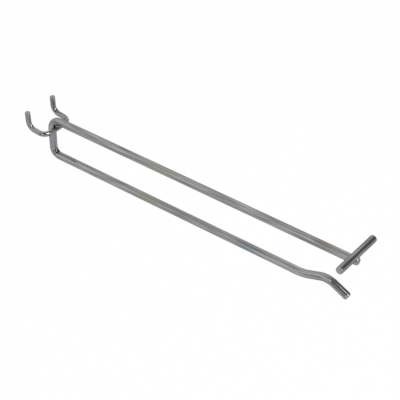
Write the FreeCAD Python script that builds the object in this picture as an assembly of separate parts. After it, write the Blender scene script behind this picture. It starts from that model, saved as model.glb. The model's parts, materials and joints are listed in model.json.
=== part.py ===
"""Pegboard hook for hanging packs, bent from round steel wire and joined by two resistance welds.

Units are millimetres and +Z is up. The panel stands in the plane Y = 0, with +Y behind it. The origin
lies on the panel's front face, midway between the two prongs and level with the bar that joins them.
"""
import FreeCAD, Part
import math
import os

# Round wires
MAIN_WIRE_D = 5.5
PRONG_WIRE_D = 3.76
CROSSBAR_D = 5.1

# Main wire, with bend radii at the wire's axis
CROSSBAR_REACH = 255.0      # panel face to the crossbar's axis
UPPER_ARM_STUB = 1.6        # upper arm past the crossbar's axis
ARM_SPACING = 30.0          # between the axes of the two arms
UPPER_BEND_R = 8.6
LOWER_BEND_R = 5.9
HUMP_SETBACK = 42.2         # crossbar's axis back to where the lower arm starts to rise
HUMP_FOOT_R = 28.0
HUMP_RISE = 18.7            # degrees above level
HUMP_RUN = 9.3
HUMP_CREST_R = 14.0
TIP_FALL = 26.5             # degrees below level
TIP_RUN = 12.0

# Prong wire, with bend radii at the wire's axis
PRONG_PITCH = 25.4          # between the axes of the two prongs, as the panel's holes are spaced
PANEL_GAP = 5.2             # panel's front face to the upright ends of the prongs
PRONG_TOP = 14.1            # top of the prongs above the bar's axis
PRONG_SLOPE = 6.0           # degrees that the prongs climb through the panel
PRONG_LEAN = 2.0            # degrees that the upright ends lean back
CORNER_BEND_R = 5.5         # from the bar into a prong
PRONG_BEND_R = 5.6          # from a prong into its upright end
SEAT_ANGLE = 57.0           # degrees round the upper bend, from the arm to where the bar is welded

# Crossbar
CROSSBAR_LENGTH = 39.5

# Welds and cut ends
WELD_SET = 0.35             # depth that two wires are pressed into each other
WELD_COLLAR_R = 1.5         # metal squeezed out round a weld
MAIN_END_CHAMFER = 0.9
PRONG_END_CHAMFER = 0.6
CROSSBAR_END_CHAMFER = 1.0

# Directions
RIGHT = FreeCAD.Vector(1, 0, 0)
BACK = FreeCAD.Vector(0, 1, 0)
UP = FreeCAD.Vector(0, 0, 1)


def turned(direction, towards, degrees):
    """A direction turned by an angle towards another that is square to it."""
    angle = math.radians(degrees)
    return direction * math.cos(angle) + towards * math.sin(angle)


# Radii of the wires
MAIN_R = MAIN_WIRE_D / 2
PRONG_R = PRONG_WIRE_D / 2
CROSSBAR_R = CROSSBAR_D / 2

# The bar lies inside the upper bend, so its seat fixes how high the upper arm is
SEAT_DIRECTION = turned(UP, BACK, SEAT_ANGLE)
BAR_FROM_BEND_CENTRE = SEAT_DIRECTION * (UPPER_BEND_R - MAIN_R - PRONG_R + WELD_SET)
UPPER_ARM_Z = UPPER_BEND_R - BAR_FROM_BEND_CENTRE.z
UPPER_BEND_CENTRE = BACK * -(MAIN_R + UPPER_BEND_R) + UP * (UPPER_ARM_Z - UPPER_BEND_R)
BEND_AT_BAR = UPPER_BEND_CENTRE + SEAT_DIRECTION * UPPER_BEND_R
BAR_AXIS = UPPER_BEND_CENTRE + BAR_FROM_BEND_CENTRE

# The crossbar lies on top of the upper arm
ARM_AT_CROSSBAR = BACK * -CROSSBAR_REACH + UP * UPPER_ARM_Z
CROSSBAR_AXIS = ARM_AT_CROSSBAR + UP * (MAIN_R + CROSSBAR_R - WELD_SET)


class BentWire:
    """A round wire laid down run by run and bend by bend, as it is fed through a wire former."""

    def __init__(self, diameter, start, heading):
        self.tip = start
        self.heading = heading
        self.section = Part.Face(Part.Wire(Part.makeCircle(diameter / 2, start, heading)))
        self.path = []

    def run(self, length):
        end = self.tip + self.heading * length
        self.path.append(Part.LineSegment(self.tip, end).toShape())
        self.tip = end

    def bend(self, radius, heading):
        """Turns the wire through an arc until it points along a new heading."""
        start = self.tip
        ahead = self.heading
        turn = ahead.getAngle(heading)
        side = heading - ahead * ahead.dot(heading)
        side.normalize()

        def point(angle):
            return start + (ahead * math.sin(angle) + side * (1 - math.cos(angle))) * radius

        self.tip = point(turn)
        self.heading = heading
        self.path.append(Part.Arc(start, point(turn / 2), self.tip).toShape())

    def solid(self, end_chamfer):
        """The wire as a solid, with the rims of its two cut ends chamfered."""
        wire = Part.Wire(self.path).makePipe(self.section)
        cut_ends = [face for face in wire.Faces if isinstance(face.Surface, Part.Plane)]
        rims = [edge for face in cut_ends for edge in face.Edges]
        return wire.makeChamfer(end_chamfer, rims).Solids[0]


def make_main_wire():
    """Upper arm from its front end, back leg, lower arm, hump and tip."""
    front = ARM_AT_CROSSBAR - BACK * UPPER_ARM_STUB
    wire = BentWire(MAIN_WIRE_D, front, BACK)
    wire.run(UPPER_BEND_CENTRE.y - front.y)
    wire.bend(UPPER_BEND_R, -UP)
    wire.run(ARM_SPACING - UPPER_BEND_R - LOWER_BEND_R)
    wire.bend(LOWER_BEND_R, -BACK)
    wire.run(CROSSBAR_REACH - HUMP_SETBACK - MAIN_R - LOWER_BEND_R)
    wire.bend(HUMP_FOOT_R, turned(-BACK, UP, HUMP_RISE))
    wire.run(HUMP_RUN)
    wire.bend(HUMP_CREST_R, turned(-BACK, -UP, TIP_FALL))
    wire.run(TIP_RUN)
    return wire.solid(MAIN_END_CHAMFER)


def make_prong_wire():
    """Left upright end, left prong, bar, right prong and right upright end."""
    through_panel = turned(BACK, UP, PRONG_SLOPE)
    upright = turned(UP, BACK, PRONG_LEAN)

    # Lengths to the corner where the axis of a prong meets the axis of its upright end
    prong_length = (PANEL_GAP + PRONG_R - BAR_AXIS.y) / through_panel.y
    upright_length = (PRONG_TOP - prong_length * through_panel.z) / upright.z
    corner = BAR_AXIS - RIGHT * (PRONG_PITCH / 2) + through_panel * prong_length

    # Straight runs left between the bends
    bend_length = PRONG_BEND_R * math.tan(through_panel.getAngle(upright) / 2)
    upright_run = upright_length - bend_length
    prong_run = prong_length - bend_length - CORNER_BEND_R
    bar_run = PRONG_PITCH - 2 * CORNER_BEND_R

    wire = BentWire(PRONG_WIRE_D, corner + upright * upright_length, -upright)
    wire.run(upright_run)
    wire.bend(PRONG_BEND_R, -through_panel)
    wire.run(prong_run)
    wire.bend(CORNER_BEND_R, RIGHT)
    wire.run(bar_run)
    wire.bend(CORNER_BEND_R, through_panel)
    wire.run(prong_run)
    wire.bend(PRONG_BEND_R, upright)
    wire.run(upright_run)
    return wire.solid(PRONG_END_CHAMFER)


def make_crossbar():
    """Straight bar across the upper arm, centred on it."""
    wire = BentWire(CROSSBAR_D, CROSSBAR_AXIS - RIGHT * (CROSSBAR_LENGTH / 2), RIGHT)
    wire.run(CROSSBAR_LENGTH)
    return wire.solid(CROSSBAR_END_CHAMFER)


def weld(wire, wire_axis, main_wire, main_axis):
    """Squeezes metal out round the line between two wires' axes, then presses the main wire's seat."""
    across = main_axis - wire_axis
    collar = Part.makeCylinder(WELD_COLLAR_R, across.Length, wire_axis, across)
    return wire.fuse(collar).cut(main_wire).Solids[0]


main_wire = make_main_wire()
prong_wire = weld(make_prong_wire(), BAR_AXIS, main_wire, BEND_AT_BAR)
crossbar = weld(make_crossbar(), CROSSBAR_AXIS, main_wire, ARM_AT_CROSSBAR)

os.makedirs("parts", exist_ok=True)
main_wire.exportStep("parts/main_wire.step")
prong_wire.exportStep("parts/prong_wire.step")
crossbar.exportStep("parts/crossbar.step")
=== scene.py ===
"""Pegboard hook of zinc-plated steel wire, dressed over its CAD frame in a soft white studio."""
import json
import math

import bmesh
import bpy
from mathutils import Matrix, Vector, noise


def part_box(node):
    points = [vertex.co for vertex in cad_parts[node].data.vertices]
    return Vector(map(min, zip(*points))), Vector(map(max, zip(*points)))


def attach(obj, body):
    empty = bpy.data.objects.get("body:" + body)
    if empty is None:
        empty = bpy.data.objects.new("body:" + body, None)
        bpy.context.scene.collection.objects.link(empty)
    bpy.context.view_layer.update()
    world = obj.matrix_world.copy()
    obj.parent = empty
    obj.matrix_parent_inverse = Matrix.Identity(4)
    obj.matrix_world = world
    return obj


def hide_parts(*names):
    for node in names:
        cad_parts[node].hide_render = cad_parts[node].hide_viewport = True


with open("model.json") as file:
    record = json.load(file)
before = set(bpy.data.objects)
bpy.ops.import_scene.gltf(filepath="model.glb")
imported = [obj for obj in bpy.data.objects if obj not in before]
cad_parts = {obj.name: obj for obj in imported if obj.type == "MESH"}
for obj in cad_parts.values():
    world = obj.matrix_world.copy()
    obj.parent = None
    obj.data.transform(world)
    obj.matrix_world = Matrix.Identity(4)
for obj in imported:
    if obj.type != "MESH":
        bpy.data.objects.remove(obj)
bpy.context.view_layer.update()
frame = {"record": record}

MM = 0.001

# Bends that the frame's boxes and mounts don't give, at the wires' axes
UPPER_BEND_R = 8.6 * MM
LOWER_BEND_R = 5.9 * MM
HUMP_FOOT_R = 28.0 * MM
HUMP_RISE = math.radians(18.7)
HUMP_RUN = 9.3 * MM
HUMP_CREST_R = 14.0 * MM
TIP_FALL = math.radians(26.5)
TIP_RUN = 12.0 * MM
PRONG_SLOPE = math.radians(6.0)
PRONG_BEND_R = 5.6 * MM
CORNER_BEND_R = 5.5 * MM

# Cut ends
CUTS = {                        # rim's depth, its length as a share of that, share of the rim left dull
    "main_wire": (0.9 * MM, 1.8, 0.3),
    "prong_wire": (0.7 * MM, 1.2, 1.0),
    "crossbar": (0.6 * MM, 1.0, 1.0)}
PRONG_CHAMFER = 0.6 * MM        # length that the prongs run on past their mounts
STUB_PROUD = 0.5 * MM           # upper arm's end past its solid
CUT_DOME = 0.12 * MM            # rise of a sheared face at its middle
DOME_RINGS = (0.1, 0.4, 0.7)    # shares of a sheared face's radius

# Welds
GROOVE_ANGLE = math.radians(-8.0)   # round the bar from straight up to the bead, backwards as positive
GROOVE_FILL = 0.6 * MM          # bead's middle above the bar
BAR_BEAD_R = 1.7 * MM
CROSSBAR_BEAD_R = 1.9 * MM
BEAD_RISE = 0.9 * MM
BEAD_LUMPS = 0.16               # share of the size
BEAD_LUMP_RATE = 2.2            # lumps in a bead's radius
WELD_METALLIC = 0.4
WELD_ROUGHNESS = 0.45
WELD_BUMP = 0.6
WELD_RELIEF = 0.15 * MM

# Mesh fineness
SIDES = 48
BEND_STEPS = 28
RIM_STEPS = 5
STEADY_RUN = 0.4 * MM           # short straight beside a bend, which keeps the long runs' shading straight

# Zinc plate
DIE_LINE_WIDTH = 0.7 * MM       # real die lines are ten times finer, and wouldn't show
DIE_LINE_LENGTH = 25.0 * MM
DIE_LINE_BUMP = 0.3
DIE_LINE_RELIEF = 0.02 * MM
TINT_PATCH = 30.0 * MM
TINT_SHARE = 0.4                # of the passivation's colour in the metal's
GRAIN = 0.5 * MM
GRAIN_RANGE = (0.3, 0.7)        # where most of a noise texture lies
PLATE_ROUGHNESS = (0.1, 0.2)
CUT_ROUGHNESS = 0.25            # added on the sheared faces

# Marks of thick passivation, and painted shade: darker spots in the two bends, on the uprights, over the
# crossbar and on the upper arm beside it; middle and reach in millimetres, and colour
STAIN_AND_SHADE_SHARE = 0.8               # of a mark's colour at its middle
STAINS_AND_PAINTED_SHADE = (
    ((0, -174, -24), 16, "#a0adb5"),
    ((0, -201, -24), 16, "#cbcbc9"),
    ((0, -92, -24), 20, "#bcbcb0"),
    ((0, -103, 6), 24, "#c1c1b5"),
    # painted shade: the upper arm darker beside the crossbar, in a straw passivation tint
    ((0, -232, 6), 12, "#a7a099"),
    ((0, -3, -8), 15, "#b7b7c0"),
    # painted shade: a darker spot in the lower bend, which dims its reflections
    ((0, -6.2, -20), 4, "#4e4e53"),
    # painted shade: a dark hollow inside the upper bend, round the bar's weld
    ((-1, -8, 2.5), 5, "#404044"),
    # painted shade: both uprights darker
    ((-12.7, 7, 10), 11, "#a5a5aa"),
    ((12.7, 7, 10), 11, "#9d9da2"),
    # painted shade: the crossbar darker over both its halves
    ((-12, -255, 11), 13, "#a5a5aa"),
    ((12, -255, 11), 13, "#a5a5aa"))

# View of the photograph
VIEW_AZIMUTH = math.radians(-52.29)
VIEW_ELEVATION = math.radians(37.75)
VIEW_DISTANCE = 887.2 * MM
VIEW_CENTRE = Vector((-0.16, -134.6, -3.8)) * MM
FOCAL_LENGTH = 121.2            # millimetres, as the sensor's width is
SENSOR_WIDTH = 36.0
CLIP_END = 50.0                 # metres

# Studio
FLOOR_Z = -450.0 * MM
FLOOR_SIZE = 3.2                # metres
PAPER_SHARE = 0.95              # of even white in the paper; lamps and shadows give the rest
PAPER_WHITE = 1.025
WALL_LEVEL = 0.556              # of the studio in the metal, with white as 1
UNLIT_LEVEL = 0.24              # of the unlit ceiling, with the walls as 1
CEILING_RISE = (-0.2, 0.35)     # upward part of a direction, from the walls to the ceiling
CEILING_FRONT = (0.33, -0.25)   # backward part of a direction, from the walls to the ceiling
WALL_PATCHES = (                # dark and light boards: towards, angle to the edge, level with the walls as 1
    ((-0.97, -0.20, 0.03), math.radians(31), 0.12),
    ((-0.58, -0.50, 0.64), math.radians(22), 0.10),
    ((-0.90, -0.24, 0.36), math.radians(11), 1.30),
    ((-0.39, 0.25, 0.88), math.radians(15), 0.35),
    ((-0.37, 0.36, 0.86), math.radians(15), 0.55),
    ((-0.88, 0.33, 0.34), math.radians(16), 1.40),
    ((-0.80, 0.60, -0.07), math.radians(11), 0.40))
LAMP_AIM = Vector((0.0, -245.0, -20.0)) * MM
LAMP_DISTANCE = 3.0             # metres
LAMPS = (                       # name, towards, width and height in metres, watts
    ("softbox", (0.06, -0.46, 0.88), 0.84, 0.90, 3.6),
    ("side_lamp", (-0.62, 0.0, 0.79), 0.15, 0.24, 1.2),
    ("high_front_lamp", (-0.03, -0.71, 0.70), 0.90, 0.56, 15.6),
    ("low_front_lamp", (0.29, -0.89, 0.34), 0.80, 0.80, 11.1),
    ("low_side_lamp", (-0.90, -0.36, 0.24), 0.74, 0.63, 5.0))

MOUNTS = {mount["name"]: mount for mount in frame["record"]["mounts"]}


def linear(colour):
    """Linear RGBA of an sRGB hex colour."""
    channels = [int(colour[i:i + 2], 16) / 255 for i in (1, 3, 5)]
    return [c / 12.92 if c <= 0.04045 else ((c + 0.055) / 1.055) ** 2.4 for c in channels] + [1.0]


def add(tree, kind, inputs=None, **settings):
    """Adds a node: settings are its own options, inputs are values for its sockets or sockets to link."""
    node = tree.nodes.new(kind)
    for name, value in settings.items():
        setattr(node, name, value)
    for key, value in (inputs or {}).items():
        if isinstance(value, bpy.types.NodeSocket):
            tree.links.new(value, node.inputs[key])
        else:
            node.inputs[key].default_value = value
    return node


def set_ramp(ramp, stops):
    """Gives a colour ramp its stops, each a position and a hex colour."""
    elements = ramp.color_ramp.elements
    while len(elements) < len(stops):
        elements.new(1.0)
    for element, (position, colour) in zip(elements, stops):
        element.position = position
        element.color = linear(colour)


# Materials

def new_material(name):
    """An empty node material and its tree."""
    material = bpy.data.materials.new(name)
    material.use_nodes = True
    material.node_tree.nodes.clear()
    return material, material.node_tree


def make_zinc_plate():
    """Bright zinc over cold-drawn wire: grey mirror-like metal with fine lines along the wire from the die,
    and faint straw and blue patches from the clear passivation."""
    material, tree = new_material("bright_zinc_plate")
    wire = add(tree, "ShaderNodeAttribute", attribute_name="straight_wire").outputs["Vector"]

    across, along = 1 / DIE_LINE_WIDTH, 1 / DIE_LINE_LENGTH
    line_space = add(tree, "ShaderNodeMapping", {"Vector": wire, "Scale": (across, across, along)})
    die_lines = add(tree, "ShaderNodeTexNoise", {"Vector": line_space.outputs[0], "Scale": 1.0,
                                                 "Detail": 3.0})
    patches = add(tree, "ShaderNodeTexNoise", {"Vector": wire, "Scale": 1 / TINT_PATCH, "Detail": 2.0})
    grain = add(tree, "ShaderNodeTexNoise", {"Vector": wire, "Scale": 1 / GRAIN, "Detail": 4.0})

    metal = add(tree, "ShaderNodeValToRGB", {"Fac": die_lines.outputs["Fac"]})
    set_ramp(metal, [(0.3, "#606060"), (0.43, "#adadad"), (0.57, "#d0d0d0"), (0.7, "#ffffff")])
    tint = add(tree, "ShaderNodeValToRGB", {"Fac": patches.outputs["Fac"]})
    set_ramp(tint, [(0.32, "#afb5be"), (0.44, "#b9b9bb"), (0.58, "#bbb9b9"), (0.7, "#c0bcb3")])
    colour = add(tree, "ShaderNodeMix", {"Factor": TINT_SHARE, 6: metal.outputs["Color"],
                                         7: tint.outputs["Color"]}, data_type="RGBA")
    place = add(tree, "ShaderNodeTexCoord").outputs["Object"]
    # Marks of thick passivation, and painted shade in the bends, on the uprights and round the crossbar
    for middle, reach, stain_or_shade in STAINS_AND_PAINTED_SHADE:
        away = add(tree, "ShaderNodeVectorMath", {0: place, 1: Vector(middle) * MM}, operation="DISTANCE")
        share = add(tree, "ShaderNodeMapRange", {"Value": away.outputs["Value"], "From Min": reach * MM,
                                                 "From Max": 0.0, "To Max": STAIN_AND_SHADE_SHARE},
                    interpolation_type="SMOOTHSTEP")
        colour = add(tree, "ShaderNodeMix", {"Factor": share.outputs[0], 6: colour.outputs[2],
                                             7: linear(stain_or_shade)}, data_type="RGBA")
    cut = add(tree, "ShaderNodeAttribute", attribute_name="cut_face").outputs["Fac"]
    colour = add(tree, "ShaderNodeMix", {"Factor": cut, 6: colour.outputs[2], 7: linear("#c6c6ca")},
                 data_type="RGBA")

    grain_from, grain_to = GRAIN_RANGE
    smoothest, roughest = PLATE_ROUGHNESS
    roughness = add(tree, "ShaderNodeMapRange", {
        "Value": grain.outputs["Fac"], "From Min": grain_from, "From Max": grain_to, "To Min": smoothest,
        "To Max": roughest})
    roughness = add(tree, "ShaderNodeMath", {0: cut, 1: CUT_ROUGHNESS, 2: roughness.outputs["Result"]},
                    operation="MULTIPLY_ADD")
    relief = add(tree, "ShaderNodeBump", {"Height": die_lines.outputs["Fac"], "Strength": DIE_LINE_BUMP,
                                          "Distance": DIE_LINE_RELIEF})
    shader = add(tree, "ShaderNodeBsdfPrincipled", {
        "Base Color": colour.outputs[2], "Metallic": 1.0, "Specular Tint": linear("#c8c8c8"),
        "Roughness": roughness.outputs[0], "Normal": relief.outputs["Normal"]})
    add(tree, "ShaderNodeOutputMaterial", {"Surface": shader.outputs[0]})
    return material


def make_weld_metal():
    """Plated weld upset: the same zinc over metal that was squeezed out molten, so it is lumpy and duller."""
    material, tree = new_material("plated_weld_metal")
    place = add(tree, "ShaderNodeTexCoord").outputs["Object"]
    lumps = add(tree, "ShaderNodeTexNoise", {"Vector": place, "Scale": 1 / GRAIN, "Detail": 5.0})
    colour = add(tree, "ShaderNodeValToRGB", {"Fac": lumps.outputs["Fac"]})
    set_ramp(colour, [(0.3, "#b4b5be"), (0.7, "#feffff")])
    relief = add(tree, "ShaderNodeBump", {"Height": lumps.outputs["Fac"], "Strength": WELD_BUMP,
                                          "Distance": WELD_RELIEF})
    shader = add(tree, "ShaderNodeBsdfPrincipled", {
        "Base Color": colour.outputs["Color"], "Metallic": WELD_METALLIC, "Roughness": WELD_ROUGHNESS,
        "Normal": relief.outputs["Normal"]})
    add(tree, "ShaderNodeOutputMaterial", {"Surface": shader.outputs[0]})
    return material


def make_paper():
    """White studio paper: even and matt, white to the eye, and as light as the walls in the metal."""
    material, tree = new_material("studio_paper")
    rays = add(tree, "ShaderNodeLightPath").outputs
    seen = add(tree, "ShaderNodeMath", {0: rays["Is Camera Ray"], 1: rays["Is Glossy Ray"]},
               operation="MAXIMUM")
    seen = add(tree, "ShaderNodeMath", {0: seen.outputs[0], 1: rays["Is Transmission Ray"]},
               operation="MAXIMUM")
    share = add(tree, "ShaderNodeMath", {0: seen.outputs[0], 1: PAPER_SHARE}, operation="MULTIPLY")
    matt = add(tree, "ShaderNodeBsdfDiffuse", {"Color": linear("#fafafa")})
    level = add(tree, "ShaderNodeMix", {"Factor": rays["Is Camera Ray"], 2: WALL_LEVEL, 3: PAPER_WHITE})
    white = add(tree, "ShaderNodeEmission", {"Color": linear("#ffffff"), "Strength": level.outputs[0]})
    both = add(tree, "ShaderNodeMixShader", {0: share.outputs[0], 1: matt.outputs[0], 2: white.outputs[0]})
    add(tree, "ShaderNodeOutputMaterial", {"Surface": both.outputs[0]})
    return material


# Wires

def make_bent_wire_tree():
    """Sweeps a round wire along a route: rounds each corner to its own bend radius, lays the section along
    it at each point's wire radius, and keeps every point's place on the straight wire, before bending."""
    tree = bpy.data.node_groups.new("bent_wire", "GeometryNodeTree")
    sockets = (("Route", "NodeSocketGeometry"), ("Sides", "NodeSocketInt"), ("Bend steps", "NodeSocketInt"),
               ("Finish", "NodeSocketMaterial"))
    for name, kind in sockets:
        tree.interface.new_socket(name, in_out="INPUT", socket_type=kind)
    tree.interface.new_socket("Wire", in_out="OUTPUT", socket_type="NodeSocketGeometry")
    given = add(tree, "NodeGroupInput").outputs

    bend_radius = add(tree, "GeometryNodeInputNamedAttribute", {"Name": "bend_radius"}, data_type="FLOAT")
    wire_radius = add(tree, "GeometryNodeInputNamedAttribute", {"Name": "wire_radius"}, data_type="FLOAT")
    path = add(tree, "GeometryNodeMeshToCurve", {"Mesh": given["Route"]})
    bent = add(tree, "GeometryNodeFilletCurve", {"Curve": path.outputs[0], "Count": given["Bend steps"],
                                                 "Radius": bend_radius.outputs[0]}, mode="POLY")
    length = add(tree, "GeometryNodeSplineParameter").outputs["Length"]
    along = add(tree, "ShaderNodeCombineXYZ", {"Z": length})
    measured = add(tree, "GeometryNodeStoreNamedAttribute", {
        "Geometry": bent.outputs[0], "Name": "along", "Value": along.outputs[0]}, data_type="FLOAT_VECTOR")
    section = add(tree, "GeometryNodeCurvePrimitiveCircle", {"Resolution": given["Sides"], "Radius": 1.0})
    place = add(tree, "GeometryNodeInputPosition")
    ring = add(tree, "GeometryNodeStoreNamedAttribute", {
        "Geometry": section.outputs[0], "Name": "ring", "Value": place.outputs[0]}, data_type="FLOAT_VECTOR")
    swept = add(tree, "GeometryNodeCurveToMesh", {
        "Curve": measured.outputs[0], "Profile Curve": ring.outputs[0], "Scale": wire_radius.outputs[0],
        "Fill Caps": True})

    on_ring = add(tree, "GeometryNodeInputNamedAttribute", {"Name": "ring"}, data_type="FLOAT_VECTOR")
    on_length = add(tree, "GeometryNodeInputNamedAttribute", {"Name": "along"}, data_type="FLOAT_VECTOR")
    straight = add(tree, "ShaderNodeVectorMath", {0: on_ring.outputs[0], 1: wire_radius.outputs[0],
                                                  2: on_length.outputs[0]}, operation="MULTIPLY_ADD")
    placed = add(tree, "GeometryNodeStoreNamedAttribute", {
        "Geometry": swept.outputs[0], "Name": "straight_wire", "Value": straight.outputs[0]},
        data_type="FLOAT_VECTOR")
    smooth = add(tree, "GeometryNodeSetShadeSmooth", {"Geometry": placed.outputs[0]})
    real = add(tree, "GeometryNodeRealizeInstances", {"Geometry": smooth.outputs[0]})
    finished = add(tree, "GeometryNodeSetMaterial", {"Geometry": real.outputs[0],
                                                     "Material": given["Finish"]})
    add(tree, "NodeGroupOutput", {"Wire": finished.outputs[0]})
    return tree


def cut_end(radius, rim, stretch, dulled):
    """Rings of a sheared end from its middle out to the full wire: setback from the end, radius, and how
    much of a cut face the ring is."""
    flat = radius - rim
    rings = [(CUT_DOME * share ** 2, flat * share, 1.0) for share in DOME_RINGS]
    for step in range(RIM_STEPS + 1):
        angle = math.pi / 2 * step / RIM_STEPS
        setback = CUT_DOME + (rim * stretch - CUT_DOME) * (1 - math.cos(angle))
        rings.append((setback, flat + rim * math.sin(angle), float(step <= RIM_STEPS * dulled)))
    return rings + [(rim * stretch + STEADY_RUN, radius, 0.0)]


def make_route(name, corners, radius, rim):
    """The route of a wire as a mesh of points and edges. Corners are places with their bend radii, and the
    rim is that of its two cut ends."""
    places = [place for place, _ in corners]
    headings = [(b - a).normalized() for a, b in zip(places, places[1:])]
    rings = cut_end(radius, *rim)
    points = [(places[0] + headings[0] * back, 0.0, size, cut) for back, size, cut in rings]
    for (place, bend), ahead, after in zip(corners[1:-1], headings, headings[1:]):
        beside = bend * math.tan(ahead.angle(after) / 2) + STEADY_RUN
        points += [(place - ahead * beside, 0.0, radius, 0.0), (place, bend, radius, 0.0),
                   (place + after * beside, 0.0, radius, 0.0)]
    points += [(places[-1] - headings[-1] * back, 0.0, size, cut) for back, size, cut in reversed(rings)]

    places, *values = zip(*points)
    mesh = bpy.data.meshes.new(name)
    mesh.from_pydata(places, [(i, i + 1) for i in range(len(places) - 1)], [])
    for attribute, column in zip(("bend_radius", "wire_radius", "cut_face"), values):
        mesh.attributes.new(attribute, "FLOAT", "POINT").data.foreach_set("value", column)
    return mesh


def bend_wire(name, tree, route, finish):
    """A piece swept by the tree along its route, as a plain mesh."""
    piece = bpy.data.objects.new(name, route)
    bpy.context.scene.collection.objects.link(piece)
    modifier = piece.modifiers.new("bent_wire", "NODES")
    modifier.node_group = tree
    values = {"Sides": SIDES, "Bend steps": BEND_STEPS, "Finish": finish}
    for item in tree.interface.items_tree:
        if item.name in values:
            modifier[item.identifier] = values[item.name]
    evaluated = piece.evaluated_get(bpy.context.evaluated_depsgraph_get())
    piece.data = bpy.data.meshes.new_from_object(evaluated)
    piece.modifiers.remove(modifier)
    return piece


def heading(angle):
    """Direction towards the front, turned up by an angle."""
    return Vector((0.0, -math.cos(angle), math.sin(angle)))


def main_wire_corners():
    """Upper arm from its front end, back leg, lower arm, hump and tip."""
    low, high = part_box("main_wire")
    arm = MOUNTS["hanging_arm"]
    radius = arm["dims"]["r_mm"] * MM
    upper_z = high.z - radius
    leg_y = high.y - radius
    lower_z = arm["pos_m"][2]
    foot_y = arm["pos_m"][1] - arm["dims"]["length_mm"] * MM / 2
    foot_tangent = HUMP_FOOT_R * math.tan(HUMP_RISE / 2)
    crest_tangent = HUMP_CREST_R * math.tan((HUMP_RISE + TIP_FALL) / 2)
    foot = Vector((0.0, foot_y - foot_tangent, lower_z))
    crest = foot + heading(HUMP_RISE) * (foot_tangent + HUMP_RUN + crest_tangent)
    tip = crest + heading(-TIP_FALL) * (crest_tangent + TIP_RUN)
    front = Vector((0.0, low.y - STUB_PROUD, upper_z))
    leg_top = Vector((0.0, leg_y, upper_z))
    leg_foot = Vector((0.0, leg_y, lower_z))
    corners = [(front, 0.0), (leg_top, UPPER_BEND_R), (leg_foot, LOWER_BEND_R), (foot, HUMP_FOOT_R),
               (crest, HUMP_CREST_R), (tip, 0.0)]
    return corners, radius


def prong_wire_corners():
    """Left upright end, left prong, bar, right prong and right upright end."""
    low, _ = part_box("prong_wire")
    pin = MOUNTS["prong_left"]
    radius = pin["dims"]["r_mm"] * MM
    upright = Vector(pin["axis"])
    on_upright = Vector(pin["pos_m"])
    top = on_upright + upright * (pin["dims"]["length_mm"] * MM / 2 + PRONG_CHAMFER)
    bar = Vector((on_upright.x, low.y + radius, low.z + radius))
    slope = math.tan(PRONG_SLOPE)
    rise = (on_upright.z - bar.z - slope * (on_upright.y - bar.y)) / (upright.z - slope * upright.y)
    corner = on_upright - upright * rise
    half = [(top, 0.0), (corner, PRONG_BEND_R), (bar, CORNER_BEND_R)]
    mirrored = [(Vector((-place.x, place.y, place.z)), bend) for place, bend in reversed(half)]
    return half + mirrored, radius


def crossbar_corners():
    """Straight bar on top of the upper arm."""
    low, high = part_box("crossbar")
    bar = MOUNTS["label_bar"]
    _, y, z = bar["pos_m"]
    return [(Vector((low.x, y, z)), 0.0), (Vector((high.x, y, z)), 0.0)], bar["dims"]["r_mm"] * MM


def make_weld_bead(name, contact, across, size, finish):
    """Metal squeezed out round a resistance weld: a flat lump that fills the groove between two wires."""
    bead = bmesh.new()
    bmesh.ops.create_uvsphere(bead, u_segments=SIDES, v_segments=SIDES // 2, radius=1.0)
    for vertex in bead.verts:
        lump = 1 + BEAD_LUMPS * noise.noise(vertex.co * BEAD_LUMP_RATE + contact / MM)
        vertex.co = Vector((vertex.co.x * size, vertex.co.y * size, vertex.co.z * BEAD_RISE)) * lump
    bead.transform(Matrix.Translation(contact) @ across.to_track_quat("Z", "Y").to_matrix().to_4x4())
    for face in bead.faces:
        face.smooth = True
    mesh = bpy.data.meshes.new(name)
    bead.to_mesh(mesh)
    bead.free()
    mesh.materials.append(finish)
    piece = bpy.data.objects.new(name, mesh)
    bpy.context.scene.collection.objects.link(piece)
    return piece


def weld_places():
    """Beads of the two welds: name, node that carries it, middle, direction across the weld, and radius."""
    corners, bar_r = prong_wire_corners()
    bar, _ = corners[2]
    groove = Vector((0.0, math.sin(GROOVE_ANGLE), math.cos(GROOVE_ANGLE)))
    on_bar = Vector((0.0, bar.y, bar.z)) + groove * (bar_r + GROOVE_FILL)
    label_bar = MOUNTS["label_bar"]
    up = Vector((0.0, 0.0, 1.0))
    on_arm = Vector(label_bar["pos_m"]) - up * (label_bar["dims"]["r_mm"] * MM)
    return (("bar_weld", "prong_wire", on_bar, groove, BAR_BEAD_R),
            ("crossbar_weld", "crossbar", on_arm, up, CROSSBAR_BEAD_R))


def dress(piece, node):
    """Hands a finished piece over as the look of a node."""
    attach(piece, "root")
    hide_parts(node)


# Scene

def make_floor(paper):
    """Studio floor, well below the hook as it hangs."""
    mesh = bpy.data.meshes.new("studio_floor")
    half = FLOOR_SIZE / 2
    corners = ((-half, -half), (half, -half), (half, half), (-half, half))
    mesh.from_pydata([(x, y, FLOOR_Z) for x, y in corners], [], [(0, 1, 2, 3)])
    mesh.materials.append(paper)
    floor = bpy.data.objects.new("studio_floor", mesh)
    bpy.context.scene.collection.objects.link(floor)


def make_camera():
    """Camera at the photograph's angle."""
    back = Vector((math.sin(VIEW_AZIMUTH) * math.cos(VIEW_ELEVATION),
                   -math.cos(VIEW_AZIMUTH) * math.cos(VIEW_ELEVATION), math.sin(VIEW_ELEVATION)))
    data = bpy.data.cameras.new("photograph")
    data.lens = FOCAL_LENGTH
    data.sensor_width = SENSOR_WIDTH
    data.clip_end = CLIP_END
    camera = bpy.data.objects.new("photograph", data)
    camera.location = VIEW_CENTRE + back * VIEW_DISTANCE
    camera.rotation_euler = (-back).to_track_quat("-Z", "Y").to_euler()
    bpy.context.scene.collection.objects.link(camera)
    bpy.context.scene.camera = camera


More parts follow.
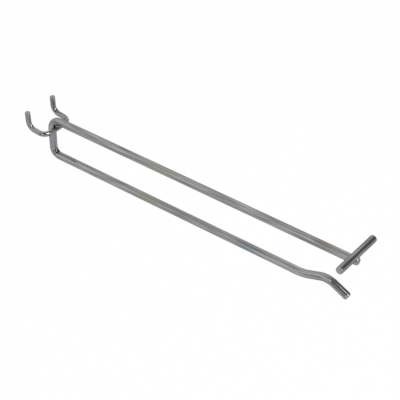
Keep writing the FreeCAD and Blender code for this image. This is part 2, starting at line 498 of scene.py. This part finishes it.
def make_lamp(name, direction, width, height, watts):
    """Soft lamp that faces the hook's front end."""
    data = bpy.data.lights.new(name, "AREA")
    data.shape = "RECTANGLE"
    data.size = width
    data.size_y = height
    data.energy = watts
    lamp = bpy.data.objects.new(name, data)
    lamp.location = LAMP_AIM + direction * LAMP_DISTANCE
    lamp.rotation_euler = direction.to_track_quat("Z", "Y").to_euler()
    bpy.context.scene.collection.objects.link(lamp)


def add_patch(tree, direction, shade, middle, reach, level):
    """Fades a round patch of the studio's walls to another grey, and returns the new shade."""
    nearness = add(tree, "ShaderNodeVectorMath", {0: direction, 1: Vector(middle).normalized()},
                   operation="DOT_PRODUCT")
    share = add(tree, "ShaderNodeMapRange", {"Value": nearness.outputs["Value"], "From Min": math.cos(reach)},
                interpolation_type="SMOOTHSTEP")
    return add(tree, "ShaderNodeMix", {"Factor": share.outputs[0], 2: shade, 3: level}).outputs[0]


def make_studio_walls():
    """Studio in the metal: even walls with their boards, and an unlit ceiling over the front. The eye sees
    plain white."""
    world = bpy.data.worlds.new("studio")
    bpy.context.scene.world = world
    world.use_nodes = True
    tree = world.node_tree
    tree.nodes.clear()
    direction = add(tree, "ShaderNodeTexCoord").outputs["Generated"]
    part = add(tree, "ShaderNodeSeparateXYZ", {0: direction}).outputs
    (low, top), (rear, fore) = CEILING_RISE, CEILING_FRONT
    high = add(tree, "ShaderNodeMapRange", {"Value": part["Z"], "From Min": low, "From Max": top},
               interpolation_type="SMOOTHSTEP")
    front = add(tree, "ShaderNodeMapRange", {"Value": part["Y"], "From Min": rear, "From Max": fore},
                interpolation_type="SMOOTHSTEP")
    unlit = add(tree, "ShaderNodeMath", {0: high.outputs[0], 1: front.outputs[0]}, operation="MULTIPLY")
    shade = add(tree, "ShaderNodeMix", {"Factor": unlit.outputs[0], 2: 1.0, 3: UNLIT_LEVEL}).outputs[0]
    for middle, reach, level in WALL_PATCHES:
        shade = add_patch(tree, direction, shade, middle, reach, level)
    shade = add(tree, "ShaderNodeMath", {0: shade, 1: WALL_LEVEL}, operation="MULTIPLY").outputs[0]
    seen = add(tree, "ShaderNodeLightPath").outputs["Is Camera Ray"]
    shade = add(tree, "ShaderNodeMix", {"Factor": seen, 2: shade, 3: 1.0}).outputs[0]
    walls = add(tree, "ShaderNodeBackground", {"Color": shade, "Strength": 1.0})
    add(tree, "ShaderNodeOutputWorld", {"Surface": walls.outputs[0]})


zinc = make_zinc_plate()
bent_wire = make_bent_wire_tree()
for node, (corners, radius) in (("main_wire", main_wire_corners()), ("prong_wire", prong_wire_corners()),
                                ("crossbar", crossbar_corners())):
    route = make_route(node + "_route", corners, radius, CUTS[node])
    dress(bend_wire("plated_" + node, bent_wire, route, zinc), node)

weld_metal = make_weld_metal()
for name, node, contact, across, size in weld_places():
    dress(make_weld_bead(name, contact, across, size, weld_metal), node)

make_floor(make_paper())
make_camera()
for name, towards, width, height, watts in LAMPS:
    make_lamp(name, Vector(towards).normalized(), width, height, watts)
make_studio_walls()
bpy.context.scene.view_settings.view_transform = "Standard"
